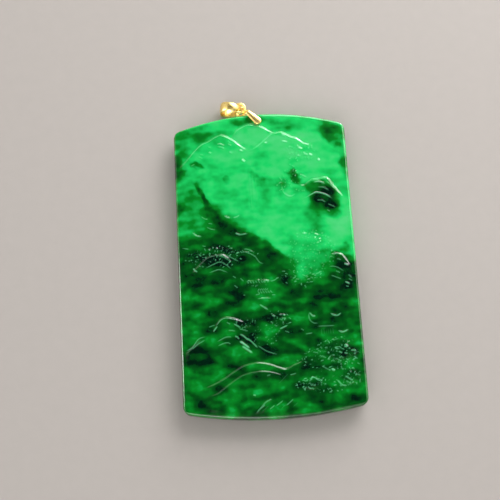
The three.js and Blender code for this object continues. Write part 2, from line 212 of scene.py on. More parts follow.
# Flat raised shapes: middle, half width, half height and rise.
SLABS = {
    "pavilion roof": (-0.9, -6.4, 2, 0.55, 0.04),
    "pavilion": (-0.9, -8.1, 1.3, 1, 0.05),
    "boat hull": (10.4, -13.5, 2.6, 0.6, 0.05),
    "boat awning": (10.2, -12.1, 1.4, 0.8, 0.05),
    "waterfall": (-1.9, 16.2, 0.9, 4.6, 0.05),
}
SLAB_EDGE = 0.8

# How foliage is cut: the spacing of short cuts and of dots, how far a mass's cutting spreads past its edge,
# the lengths, greatest bow, heights and half widths of short cuts, and how flecks and needles lean.
SEED = 11
CUT_STEP, DOT_STEP = 0.58, 0.5
LEAF_SPREAD = 1.1
CUT_LENGTHS, CUT_BOW = (0.3, 0.75), 0.14
CUT_HEIGHTS, CUT_HALF_WIDTHS = (0.015, 0.03, 0.045, 0.09), (0.08, 0.1)
FLECK_LEAN, NEEDLE_LEAN = (-24, 34), (-0.4, 0.4)
NEEDLE_ROOT, NEEDLE_FAN = 1.6, 1.3
DOT_LOW, DOT_RISE = 0.015, 0.07
DOT_HALF, DOT_WIDENING = 0.1, 0.8
ROW_GAP, STRAYING = 0.85, 0.45

# A stroke rises over this share of its length, from this share of its height at the ends.
TAPER, CUT_END = 0.2, 0.25

# Drawn strokes: the kind of cut and the few points that its curve goes through.
STROKES = {
    "far peaks": [
        (BOLD, [(-9, 26.2), (-8.2, 26.1), (-7.3, 25.6)]),
        (BOLD, [(-8.9, 25.6), (-8, 25.4), (-7.4, 25)]),
        (FINE, [(-10.9, 25.7), (-10.2, 25.4)]),
        (BOLD, [(-10.8, 24.4), (-10.2, 24.2)]),
        (BOLD, [(-6.7, 26.1), (-5.9, 25.6)]),
        (FINE, [(-6.7, 26.6), (-6, 26.2)]),
        (BOLD, [(-6.5, 24.3), (-5.8, 23.9)]),
        (FINE, [(-13, 23.6), (-12, 23.1)]),
        (FINE, [(-12.6, 24.1), (-11.8, 23.8)]),
        (BOLD, [(-4.4, 24.6), (-3.6, 24.2)]),
        (BRIGHT, [(-4, 22.4), (-3.3, 21.8)]),
        (FINE, [(-14.6, 21.6), (-13.8, 21.9)]),
        (BOLD, [(4.6, 27.4), (5.5, 27.1)]),
        (BOLD, [(4.6, 26), (5.9, 25.6)]),
        (FINE, [(6, 24.7), (6.9, 24.4)]),
        (BRIGHT, [(8, 24.3), (8.8, 24)]),
        (FINE, [(7.5, 22.6), (8.4, 22.4)]),
        (BOLD, [(9, 22.9), (9.9, 22.6)]),
        (BRIGHT, [(10.1, 22.8), (10.8, 22.4)]),
        (BRIGHT, [(11.8, 21.5), (12.3, 21.2)]),
        (BOLD, [(9.3, 25.2), (10.3, 24.8)]),
        (BOLD, [(0.8, 25.9), (1.5, 25.7)]),
    ],
    "waterfall": [
        (FAINT, [(-2.6, 21), (-2.5, 15.8), (-2.4, 11.1)]),
        (FAINT, [(-2, 20.2), (-1.9, 15.8), (-1.9, 12.2)]),
        (FAINT, [(-1.4, 18.9), (-1.2, 15.3), (-1.3, 12.4)]),
    ],
    "cliff": [
        (FINE, [(13, 16.5), (14, 15.7), (14.9, 14.5)]),
        (BOLD, [(10.5, 16.4), (11.8, 16.4), (13, 15.8)]),
        (BOLD, [(8.5, 13), (10.2, 13.9), (11.2, 14.1), (13, 13.5), (14.4, 12.4)]),
        (FINE, [(10.9, 12.5), (12, 12.4), (12.8, 11.9)]),
        (FINE, [(13.1, 11.6), (14.8, 10.7)]),
        (FINE, [(12.9, 10.3), (13.6, 9.9)]),
        (FINE, [(11.2, 15.3), (12.6, 15.1), (13.8, 14.3)]),
        (FINE, [(4, 16.6), (4.3, 14.7), (5.6, 13.7), (6.9, 14.3)]),
        (FINE, [(5.8, 20.8), (6.3, 20.6)]),
        (FINE, [(6.4, 20.4), (6.9, 20.1)]),
        (FINE, [(3.6, 18.1), (4.2, 17.2)]),
        (FINE, [(8.2, 18.3), (9.2, 17.7)]),
    ],
    "birds and clouds": [
        (BOLD, [(-8.2, 10.4), (-7.6, 9.9), (-6.9, 9.8)]),
        (BOLD, [(-6.4, 9.8), (-5.7, 9.9), (-5, 10.3)]),
        (FINE, [(-13, 10.5), (-12.2, 9.9), (-11.5, 9.7)]),
        (FINE, [(-12, 8.2), (-11, 7.6), (-10, 7.4)]),
        (BOLD, [(-14.9, 7.2), (-14.1, 6.4), (-12.9, 6.1)]),
        (BOLD, [(-6.2, 6.6), (-5.3, 6.1), (-3.5, 6.2)]),
        (FINE, [(-17.3, 4), (-15.6, 3.6)]),
        (FINE, [(-13, 4.2), (-12.2, 4)]),
        (FINE, [(-11.6, 8.9), (-10.6, 8.7)]),
    ],
    "pine hill": [
        (FINE, [(-13, -0.9), (-11, 0), (-9.5, 0.5), (-8.2, -0.2), (-7, -1.4)]),
        (FINE, [(-12, -1.7), (-10.5, -1.2), (-9.5, -1.1), (-7.6, -2)]),
        (FINE, [(-10, 1.9), (-8.5, 1.4), (-7, 0.2)]),
        (FINE, [(-8.2, 2.1), (-6.8, 1.1), (-5.6, 0.4)]),
        (FINE, [(-7.1, -2.5), (-6.4, -3)]),
        (FINE, [(-5.6, -3), (-4.9, -3.8)]),
        (FINE, [(-6.9, -4.4), (-6.1, -5.1)]),
        (BOLD, [(-15.1, -0.4), (-14.1, -1.4)]),
    ],
    "cloud ridge": [
        (FINE, [(-4.9, 2.5), (-4, 2.2), (-2.5, 1.4), (-1.5, 0), (-0.5, -0.4)]),
        (FINE, [(-4.7, 3), (-3.6, 2.8), (-2.6, 2.1)]),
    ],
    "great tree": [
        (BOLD, [(7.4, 5.7), (8.5, 5.4)]),
        (BOLD, [(9.9, 5.4), (10.7, 4.9)]),
        (FINE, [(2.8, -2.1), (3.6, -2.2)]),
        (FINE, [(7.4, -3.4), (8.1, -3.6)]),
        (FINE, [(8.5, -3.7), (9.1, -3.9)]),
        (FINE, [(9.5, -3.2), (11, -2.6)]),
        (FINE, [(5.5, -3.9), (6.3, -4)]),
        (FINE, [(8.2, -4.6), (9, -4.7)]),
        (FINE, [(1.6, -3.4), (2.2, -3.5)]),
    ],
    "side rock": [
        (FINE, [(12.9, 0.9), (15.1, 0.7)]),
        (FINE, [(12.7, 0.3), (13.4, 0.2)]),
        (FINE, [(14, -0.2), (14.9, -0.5)]),
        (BOLD, [(15.4, -1.3), (16.3, -1.7)]),
        (FINE, [(12.3, -1.7), (13.8, -1.9), (15.5, -3)]),
        (FINE, [(12.5, -3.5), (14.8, -4.5)]),
        (FINE, [(16.1, -3.6), (16.8, -4.4)]),
        (FINE, [(16.1, -4.4), (16.9, -5)]),
        (BOLD, [(15.3, -5), (16.3, -5.6)]),
        (FINE, [(15.4, -5.9), (16.1, -6.1)]),
        (FINE, [(13.6, -2.7), (14.6, -3.2)]),
    ],
    "pavilion": [
        (FINE, [(0.4, -4.1), (1.2, -3.9), (2.1, -3.3)]),
        (BOLD, [(-0.7, -3.8), (0.3, -4)]),
        (FINE, [(-2.6, -7.5), (0.6, -7.5)]),
        (BOLD, [(-2.1, -8.6), (-1.2, -9.3), (-0.3, -9.9)]),
        (FINE, [(-2.8, -6.7), (-1.8, -6.6)]),
        (FINE, [(0.5, -6.9), (1.3, -6.9)]),
        (FINE, [(-5.2, -6.5), (-4.7, -6.7)]),
    ],
    "middle pine": [
        (BOLD, [(0.3, -11), (1, -11.4)]),
        (FINE, [(1.7, -11.8), (2.4, -12.2)]),
        (BOLD, [(1.6, -13.9), (3.3, -13.2)]),
        (FINE, [(0.6, -13), (1.3, -13.3)]),
        (FINE, [(2.6, -14.3), (3.6, -14.7)]),
    ],
    "terraces": [
        (BOLD, [(-11.5, -13.7), (-10.6, -12.6)]),
        (FINE, [(-12.4, -12.7), (-11, -12.3)]),
        (FINE, [(-8.8, -11.9), (-8, -12.4)]),
        (BOLD, [(-7.4, -12.3), (-6, -13.2)]),
        (FINE, [(-8.6, -13.5), (-7, -13.8)]),
        (FINE, [(-6.5, -13.3), (-4.4, -14)]),
        (FINE, [(-11, -15.8), (-9, -14.9), (-7.8, -14.9)]),
        (FINE, [(-10.9, -16.6), (-9, -16), (-8, -16.4)]),
        (BOLD, [(-7.3, -14.8), (-6.8, -15), (-6.4, -15.5)]),
        (BOLD, [(-6.3, -14.4), (-5.4, -15), (-4.5, -15.9)]),
        (BRIGHT, [(-6.4, -15.8), (-5.5, -16.5), (-4.4, -17.4)]),
        (BRIGHT, [(-6, -16.8), (-5, -17.5), (-3.9, -18.4)]),
        (BOLD, [(-5, -15.2), (-3.9, -16.2), (-2.8, -17.5)]),
        (FINE, [(-3.1, -16.7), (-1.2, -18.1), (1.2, -19)]),
    ],
    "left shore": [
        (FINE, [(-17.6, -17.4), (-15.8, -16.6), (-14.5, -15), (-12.8, -14.5)]),
        (FINE, [(-16, -17.1), (-14.6, -16), (-13, -15.1)]),
    ],
    "banks": [
        (FINE, [(3, -23.1), (4.4, -22.8)]),
        (FINE, [(-1.5, -23), (-0.6, -22.8)]),
        (FAINT, [(0.5, -24.9), (3, -22.6)]),
    ],
    "foot": [
        (FINE, [(-3.8, -29.8), (-2, -28.5)]),
        (FAINT, [(-2.9, -29.9), (-1.2, -28.6)]),
        (FINE, [(-1.3, -29.5), (-0.2, -28.7)]),
        (FINE, [(0, -28.9), (1.5, -27.9)]),
        (FAINT, [(0.8, -29.6), (2.2, -28.5)]),
        (FINE, [(1.9, -29), (3.5, -27.7)]),
        (FAINT, [(3.2, -29.3), (4.4, -28.4)]),
        (BOLD, [(-4.3, -26.5), (-3.7, -26.7)]),
    ],
    "boats": [
        (BOLD, [(7.7, -10.8), (8.3, -11.6), (9, -11.7)]),
        (FINE, [(7.7, -10.8), (7.6, -11.8), (7.9, -12.6), (8.6, -13.1), (9.6, -13.2)]),
        (BOLD, [(11.8, -11.2), (12.5, -11.7), (13.3, -11.8), (14.1, -11.3)]),
        (FINE, [(8.9, -13.8), (12.8, -13.8)]),
        (FINE, [(5.8, -14), (6.5, -14.5)]),
        (FINE, [(6.6, -15.2), (8.2, -15)]),
        (BOLD, [(13.1, -14.8), (14, -15.2), (15.3, -14.7)]),
    ],
    "bank pine": [
        (FINE, [(7.8, -18.8), (9, -19.1)]),
        (FINE, [(9, -19.5), (10.5, -20.2)]),
        (FINE, [(9.3, -21.6), (11.2, -22.8)]),
        (BRIGHT, [(11.2, -22.3), (11.9, -22.7)]),
        (BOLD, [(14.1, -17.7), (14.9, -18.1)]),
        (BOLD, [(12.9, -19), (13.6, -19.4)]),
        (BOLD, [(12.2, -18.3), (12.9, -18.6)]),
        (FINE, [(15.8, -18.7), (16.4, -19.1)]),
        (FINE, [(12.2, -20.3), (12.8, -20.6)]),
        (FINE, [(16.3, -21.4), (16.9, -21.8)]),
    ],
    "foot pines": [
        (BOLD, [(6.8, -24.2), (7.7, -23.8), (8.8, -24.6)]),
        (FINE, [(5.8, -24.5), (6.5, -24.3)]),
        (FINE, [(7, -25.2), (8, -25.4)]),
        (FINE, [(4.2, -25.5), (4.7, -25.7)]),
        (FINE, [(5.3, -25.6), (5.8, -25.8)]),
        (FINE, [(6.5, -25.7), (7, -25.9)]),
        (BOLD, [(12.2, -24.5), (13, -25.5), (14, -25.8)]),
        (BOLD, [(13.7, -23.8), (15.2, -24.9)]),
        (FINE, [(13.9, -24.8), (14.9, -25.5)]),
        (FINE, [(16.1, -23.6), (16.8, -24)]),
    ],
}

# Level rows of short cuts, as on tiles and lattice: kind, first place, step, length, slope and count.
TICK_ROWS = {
    "upper roof tiles": (FINE, (-4.3, -3.7), 0.56, 0.75, -60, 8),
    "upper roof shade": (FAINT, (-3.6, -5), 0.42, 0.6, 50, 4),
    "lower roof tiles": (FINE, (-2.3, -5.9), 0.5, 0.8, -52, 6),
    "lower roof lattice": (FINE, (-2.2, -5.9), 0.42, 0.6, 50, 5),
    "reflections": (FAINT, (9.9, -15.6), 0.45, 1.4, 90, 6),
}


def smooth(t):
    """The ease curve 3t^2 - 2t^3, with t held between 0 and 1."""
    t = np.clip(t, 0.0, 1.0)
    return t * t * (3.0 - 2.0 * t)


def curve_through(points, steps=6):
    """A Catmull-Rom curve: each span is the cubic whose ends lie on its two points, with slopes parallel to
    the line between the points on either side. Mirroring the first and last points gives the end slopes."""
    p = np.array(points, float)
    p = np.vstack([2 * p[0] - p[1], p, 2 * p[-1] - p[-2]])
    a, b, c, d = (p[i:len(p) - 3 + i, None, :] for i in range(4))
    t = np.linspace(0.0, 1.0, steps, endpoint=False)[None, :, None]
    spans = b + 0.5 * ((c - a) * t + (2 * a - 5 * b + 4 * c - d) * t ** 2 + (3 * b - a - 3 * c + d) * t ** 3)
    return np.vstack([spans.reshape(-1, 2), p[-2]])


def hill_height(x, y, hill):
    """A hill's cover and height: the crest is a curve y = c(x), and the cover eases from 0 to 1 over the
    narrow edge below it and towards both ends. The slope eases from the lift at the crest to the foot at its
    reach, and the whole hill sinks away past the stretch that is cut along the crest."""
    crest, lift, foot, reach, _, (first, last) = hill
    line = curve_through(crest)
    below = np.interp(x, line[:, 0], line[:, 1]) - y
    ends = smooth((x - crest[0][0]) / HILL_END) * smooth((crest[-1][0] - x) / HILL_END)
    keen = smooth((x - first) / CREST_FADE + 0.5) * smooth((last - x) / CREST_FADE + 0.5)
    slope = foot + (lift - foot) * (1.0 - smooth(below / reach))
    return smooth(below / CREST_EDGE) * ends, slope * keen


def crest_cuts():
    """The cuts that run just below the crests."""
    cuts = []
    for crest, *_, kind, (first, last) in HILLS.values():
        line = curve_through(crest, 3) - [0.0, CREST_CUT]
        cuts.append((kind, line[(line[:, 0] > first) & (line[:, 0] < last)]))
    return cuts


def landforms(x, y):
    """The hills laid over each other from the furthest to the nearest, then each foliage mass as a dome that
    eases out at its edge, then each flat shape with its edges eased down."""
    total = np.zeros_like(x)
    for hill in HILLS.values():
        cover, height = hill_height(x, y, hill)
        total += (np.maximum(height, total) - total) * cover
    for cx, cy, wide, high, rise, _ in CROWNS.values():
        away = ((x - cx) / wide) ** 2 + ((y - cy) / high) ** 2
        total += rise * smooth(1.0 - away)
    for cx, cy, wide, high, rise in SLABS.values():
        inset = np.minimum(wide - np.abs(x - cx), high - np.abs(y - cy))
        total += rise * smooth(inset / SLAB_EDGE)
    return total


def scattered(cx, cy, wide, high, step, draw):
    """Places over a mass and a little past it: a triangular grid over the spread ellipse, whose places are
    each moved at random by up to a share of a step."""
    wide, high = LEAF_SPREAD * wide, LEAF_SPREAD * high
    rows = np.arange(cy - high, cy + high, step * ROW_GAP)
    spots = [(x + step * 0.5 * (i % 2), y) for i, y in enumerate(rows)
             for x in np.arange(cx - wide, cx + wide, step)]
    spots = np.array(spots) + draw.uniform(-STRAYING * step, STRAYING * step, (len(spots), 2))
    inside = ((spots[:, 0] - cx) / wide) ** 2 + ((spots[:, 1] - cy) / high) ** 2 < 1.0
    return spots[inside]


def short_cuts(kind, cx, cy, wide, high, draw):
    """Short curved cuts of uneven height: needles fan outwards from the foot of their mass, and flecks lie
    across it, mostly falling to the right."""
    cuts = []
    for x, y in scattered(cx, cy, wide, high, CUT_STEP, draw):
        if kind == NEEDLES:
            lean = math.atan2(y - cy + NEEDLE_ROOT * high, NEEDLE_FAN * (x - cx)) + draw.uniform(*NEEDLE_LEAN)
        else:
            lean = math.radians(draw.normal(*FLECK_LEAN))
        reach = draw.uniform(*CUT_LENGTHS)
        along = np.array([math.cos(lean), math.sin(lean)])
        across = np.array([-along[1], along[0]])
        start = np.array([x, y])
        middle = start + 0.5 * reach * along + draw.uniform(0.0, CUT_BOW) * across
        cut = (draw.choice(CUT_HEIGHTS), draw.uniform(*CUT_HALF_WIDTHS))
        cuts.append((cut, [start, middle, start + reach * along]))
    return cuts


def foliage():
    """Every place that is cut as leaves: the masses and the sprays."""
    masses = [(cx, cy, wide, high, kind) for cx, cy, wide, high, _, kind in CROWNS.values()]
    return masses + list(SPRAYS.values())


def all_cuts(draw):
    """Every stroke on the face: the crests, the drawn ones, the tick rows and the pine needles."""
    cuts = crest_cuts() + [stroke for group in STROKES.values() for stroke in group]
    for kind, (x, y), step, length, slope, count in TICK_ROWS.values():
        across, up = length * math.cos(math.radians(slope)), length * math.sin(math.radians(slope))
        cuts += [(kind, [(x + i * step, y), (x + i * step + across, y + up)]) for i in range(count)]
    for cx, cy, wide, high, kind in foliage():
        if kind != SPECKLES:
            cuts += short_cuts(kind, cx, cy, wide, high, draw)
    return cuts


def near(x, y, points, margin):
    """The flat indices of the grid points inside the box round some points."""
    low, high = points.min(0) - margin, points.max(0) + margin
    return np.flatnonzero((x > low[0]) & (x < high[0]) & (y > low[1]) & (y < high[1]))


def add_cut(ridges, x, y, kind, points):
    """Raises a ridge along a stroke: a bell curve of the distance to the nearest piece of the stroke, which
    tapers towards both ends. Where strokes cross, the taller one shows."""
    height, half = kind
    line = curve_through(points)
    spots = near(x, y, line, 3 * half)
    here = np.stack([x[spots], y[spots]], 1)[:, None, :]
    start, along = line[:-1][None], np.diff(line, axis=0)[None]
    share = np.clip(((here - start) * along).sum(2) / (along ** 2).sum(2), 0.0, 1.0)
    away = np.linalg.norm(here - start - share[..., None] * along, axis=2)
    nearest = away.argmin(1)
    rows = np.arange(len(spots))
    travelled = (nearest + share[rows, nearest]) / (len(line) - 1)
    taper = smooth(travelled / TAPER) * smooth((1.0 - travelled) / TAPER) * (1 - CUT_END) + CUT_END
    ridge = height * taper * np.exp(-((away[rows, nearest] / half) ** 2))
    ridges[spots] = np.maximum(ridges[spots], ridge)


def add_dots(ridges, x, y, dots, heights):
    """Raises a small bell-shaped bead of its own height at each dot."""
    for dot, height in zip(dots, heights):
        half = DOT_HALF + DOT_WIDENING * height
        spots = near(x, y, dot[None], 3 * half)
        away = (x[spots] - dot[0]) ** 2 + (y[spots] - dot[1]) ** 2
        ridges[spots] = np.maximum(ridges[spots], height * np.exp(-away / half ** 2))


def fine_cutting(x, y):
    """The height of all strokes and leaf dots at the grid's points, as one flat array."""
    draw = np.random.default_rng(SEED)
    ridges = np.zeros(x.size)
    flat_x, flat_y = x.ravel(), y.ravel()
    for kind, points in all_cuts(draw):
        add_cut(ridges, flat_x, flat_y, kind, points)
    for cx, cy, wide, high, kind in foliage():
        if kind == SPECKLES:
            dots = scattered(cx, cy, wide, high, DOT_STEP, draw)
            add_dots(ridges, flat_x, flat_y, dots, DOT_LOW + DOT_RISE * draw.random(len(dots)) ** 2)
    return ridges


def tablet_plan(p, q):
    """Carries points of a plain rectangle to the tablet. In each corner the square of one corner radius
    becomes a quarter disc, by x = s sqrt(1 - t^2/2) and y = t sqrt(1 - s^2/2), and a parabola bows the
    ends."""
    x, y = np.abs(p), np.abs(q)
    s = np.maximum(0.0, (x - HALF_WIDTH + CORNER_RADIUS) / CORNER_RADIUS)
    t = np.maximum(0.0, (y - HALF_HEIGHT + CORNER_RADIUS) / CORNER_RADIUS)
    corner = (s > 0) & (t > 0)
    x = np.where(corner, HALF_WIDTH + CORNER_RADIUS * (s * np.sqrt(1 - t * t / 2) - 1), x)
    y = np.where(corner, HALF_HEIGHT + CORNER_RADIUS * (t * np.sqrt(1 - s * s / 2) - 1), y)
    rise = np.where(q > 0, TOP_RISE, FOOT_RISE)
    bow = rise * (y / HALF_HEIGHT) ** 2 * (1 - (x / HALF_WIDTH) ** 2)
    return np.sign(p) * x, np.sign(q) * (y + bow)


def face_surface(across, along, depth):
    """The carved face on an even grid: ground plus landforms and cuts, which die away beside the rim, less
    the rounded edge, whose section is a quarter of an ellipse."""
    p, q = np.meshgrid(np.linspace(-HALF_WIDTH, HALF_WIDTH, across + 1),
                       np.linspace(-HALF_HEIGHT, HALF_HEIGHT, along + 1))
    x, y = tablet_plan(p, q)
    inset = np.minimum(HALF_WIDTH - np.abs(p), HALF_HEIGHT - np.abs(q))
    fade = smooth(inset / CARVING_MARGIN)
    cuts = fine_cutting(x, y).reshape(x.shape) * fade
    fall = np.clip(1.0 - inset / FACE_EDGE["width"], 0.0, 1.0)
    edge = FACE_EDGE["depth"] * (1.0 - np.sqrt(1.0 - fall ** 2))
    z = GROUND + depth * (landforms(x, y) * fade + cuts) - edge
    return p, q, np.stack([x, y, z], 2), cuts


def grid_quads(rows, columns, first=0, close=False):
    """Four corner numbers for each cell of a grid of points, row by row; close joins the last column to the
    first."""
    i = np.arange(columns if close else columns - 1)
    j = np.arange(rows - 1)[:, None]
    a, b = j * columns + i, j * columns + (i + 1) % columns
    return first + np.stack([a, b, b + columns, a + columns], 2).reshape(-1, 4)


def rim_numbers(rows, columns):
    """The numbers of a grid's outer points, once round anticlockwise."""
    grid = np.arange(rows * columns).reshape(rows, columns)
    return np.concatenate([grid[0, :-1], grid[:-1, -1], grid[-1, :0:-1], grid[:0:-1, 0]])


def back_rings(p, q, shares):
    """The wall's foot and the cushioned back: the rim drawn in to each share of its distance. Its height is
    the crown times the square of how far the share lies outside the flat middle, plus a small rounded
    edge."""
    rings = []
    flat, edge = BACK["flat_share"], BACK["edge"]
    crown = BACK["side_crown"] + (BACK["end_crown"] - BACK["side_crown"]) * (q / HALF_HEIGHT) ** 4
    for share, lift in shares:
        x, y = tablet_plan(p * share, q * share)
        z = crown * max(0.0, (share - flat) / (1 - flat)) ** 2 + edge * lift
        rings.append(np.stack([x, y, z], 1))
    return np.vstack(rings)


def tablet_mesh(across, along, depth):
    """The whole tablet as points, quads, one many-sided face for the flat middle of its back, and the cuts'
    height at each point."""
    p, q, face, cuts = face_surface(across, along, depth)
    rows, columns = p.shape
    rim = rim_numbers(rows, columns)
    turn = np.linspace(0.0, math.pi / 2, 4)
    shares = [(1.0 - BACK["drawn_in"] * (1 - math.cos(a)), 1.0 - math.sin(a)) for a in turn]
    shares += [(share, 0.0) for share in np.linspace(0.95, BACK["flat_share"], 5)]
    rings = back_rings(p.ravel()[rim], q.ravel()[rim], shares)
    points = np.vstack([face.reshape(-1, 3), rings])
    first = rows * columns
    wall_top = rim
    quads = [grid_quads(rows, columns)]
    for k in range(len(shares)):
        lower = first + k * len(rim) + np.arange(len(rim))
        quads.append(np.stack([wall_top, lower, np.roll(lower, -1), np.roll(wall_top, -1)], 1))
        wall_top = lower
    ridge = np.concatenate([cuts.ravel(), np.zeros(len(rings))])
    return points, np.vstack(quads), wall_top[::-1], ridge


def ellipse_sections(centres, half_u, half_v, sides):
    """Rings of points: at each centre, the ellipse centre + cos(turn) half_u + sin(turn) half_v."""
    turn = np.linspace(0.0, 2 * math.pi, sides, endpoint=False)
    across, up = np.cos(turn)[None, :, None], np.sin(turn)[None, :, None]
    return centres[:, None, :] + (across * half_u[:, None, :] + up * half_v[:, None, :])


def leaf_tongue(z, eye_z, steps=48, sides=32):
    """A leaf's tongue along +X: elliptical sections on a line that eases from one height to the other past
    the tablet's edge. The width eases from the tip's to the neck's, and behind the hole the section shrinks
    as a quarter circle does."""
    length = LEAF["eye_at"] - EYE["radius"] + LEAF["behind_hole"]
    share = (1 - np.cos(np.linspace(0.0, math.pi, steps + 1))) / 2
    x = length * share - LEAF["behind_hole"]
    to_tip = np.maximum(0.0, 1 - length * share / LEAF["behind_hole"])
    shrink = np.sqrt(np.maximum(0.0004, 1 - to_tip ** 2))
    width = (LEAF["tip_width"] + (LEAF["neck_width"] - LEAF["tip_width"]) * smooth(share)) * shrink
    bend = smooth((x - LEAF_BEND[0]) / (LEAF_BEND[1] - LEAF_BEND[0]))
    none = np.zeros_like(x)
    centres = np.stack([x, none, z + (eye_z - z) * bend], 1)
    half_u = np.stack([none, width / 2, none], 1)
    half_v = np.stack([none, none, LEAF["thickness"] / 2 * shrink], 1)
    return ellipse_sections(centres, half_u, half_v, sides)


def torus(radius, wire, centre, steps=64, sides=24):
    """A torus about a vertical axis: circles of the wire's radius carried round a circle."""
    turn = np.linspace(0.0, 2 * math.pi, steps, endpoint=False)
    out = np.stack([np.cos(turn), np.sin(turn), np.zeros_like(turn)], 1)
    up = np.tile([0.0, 0.0, wire], (steps, 1))
    return ellipse_sections(np.array(centre) + radius * out, up, wire * out, sides)


def post(radius, low, high, sides=32):
    """An upright round peg as two circles."""
    centres = np.array([[0.0, 0.0, low], [0.0, 0.0, high]])
    return ellipse_sections(centres, np.array([[radius, 0, 0]] * 2), np.array([[0, radius, 0]] * 2), sides)


def ring_band(steps=120, sides=36):
    """The tapered ring along +X from the eyes: elliptical sections carried round an upright ellipse, whose
    width grows from the eyes to the far side as a power of the share of the way across."""
    turn = np.linspace(0.0, 2 * math.pi, steps, endpoint=False)
    away = (1 - np.cos(turn)) / 2
    none = np.zeros_like(turn)
    out = np.stack([-np.cos(turn), none, np.sin(turn)], 1)
    centres = out * [RING["half_length"], 0.0, RING["half_height"]]
    centres[:, 0] += RING["half_length"] - RING["towards_hole"]
    width = BAND["narrow"] + (BAND["wide"] - BAND["narrow"]) * away ** BAND["widening"]
    half_u = np.stack([none, width / 2, none], 1)
    return ellipse_sections(centres, half_u, out * (BAND["depth"] / 2), sides)


def tube_faces(sections, first=0, end_to_end=False):
    """Quads along a row of sections, joined end to end or with a many-sided face at each end."""
    count, sides = sections.shape[:2]
    quads = grid_quads(count, sides, first, close=True)
    last = first + (count - 1) * sides + np.arange(sides)
    if end_to_end:
        start = first + np.arange(sides)
        joint = np.stack([last, np.roll(last, -1), np.roll(start, -1), start], 1)
        return np.vstack([quads, joint]), []
    return quads, [first + np.arange(sides)[::-1], last]


def turned(points, turn, origin):
    """Points turned about the vertical axis and moved to an origin."""
    c, s = math.cos(turn), math.sin(turn)
    return points @ np.array([[c, s, 0], [-s, c, 0], [0, 0, 1]]) + origin


def mesh_of(name, points, quads, caps=()):
    """A mesh from points, quads and a few many-sided faces."""
    mesh = bpy.data.meshes.new(name)
    loops = np.concatenate([quads.ravel(), *caps]).astype(np.int32)
    sizes = np.concatenate([np.full(len(quads), 4), [len(cap) for cap in caps]]).astype(np.int32)
    mesh.vertices.add(len(points))
    mesh.vertices.foreach_set("co", points.astype(np.float32).ravel())
    mesh.loops.add(len(loops))
    mesh.loops.foreach_set("vertex_index", loops)
    mesh.polygons.add(len(sizes))
    mesh.polygons.foreach_set("loop_start", np.concatenate([[0], np.cumsum(sizes)[:-1]]).astype(np.int32))
    mesh.update(calc_edges=True)
    mesh.shade_smooth()
    return mesh


def linked(name, data):
    """An object in the scene that holds some data."""
    holder = bpy.data.objects.new(name, data)
    bpy.context.scene.collection.objects.link(holder)
    return holder


def finished(mesh, *steps):
    """The mesh after a row of modifiers, each given as its kind and its settings."""
    carrier = linked(mesh.name, mesh)
    for kind, settings in steps:
        modifier = carrier.modifiers.new(kind.title(), kind)
        for key, value in settings.items():
            setattr(modifier, key, value)
    evaluated = carrier.evaluated_get(bpy.context.evaluated_depsgraph_get())
    result = bpy.data.meshes.new_from_object(evaluated)
    bpy.data.objects.remove(carrier)
    return result


def place(mesh, name, body, node, material):
    """Makes a mesh in the drawing's millimetres a piece of the frame that stands for a node."""
    mesh.transform(Matrix.Translation(DRAWING) @ Matrix.Scale(MM, 4))
    mesh.shade_smooth()
    mesh.set_sharp_from_angle(angle=SHARP_ANGLE)
    mesh.materials.clear()
    mesh.materials.append(material)
    piece = linked(name, mesh)
    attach(piece, body)
    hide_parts(node)


def leaf_mesh(name, z, eye_z):
    """A whole leaf as one skin: its tongue, its eye and its peg melted together."""
    end = z + math.copysign(PEG["length"], eye_z - z)
    parts = [
        (leaf_tongue(z, eye_z), False),
        (torus(EYE["radius"], EYE["wire"], (LEAF["eye_at"], 0.0, eye_z)), True),
        (post(PEG["radius"], min(z, end), max(z, end)), False),
    ]
    points, quads, caps, first = [], [], [], 0
    for sections, closed in parts:
        some, ends = tube_faces(sections, first, closed)
        points.append(sections.reshape(-1, 3))
        quads.append(some)
        caps += ends
        first += sections.shape[0] * sections.shape[1]
    placed = turned(np.vstack(points), LEAF_TURN, (*HOLE, 0.0))
    return finished(
        mesh_of(name, placed, np.vstack(quads), caps),
        ("REMESH", {"mode": "VOXEL", "voxel_size": SKIN_CELL, "use_smooth_shade": True}),
        ("SMOOTH", {"factor": 0.5, "iterations": 4}),
    )


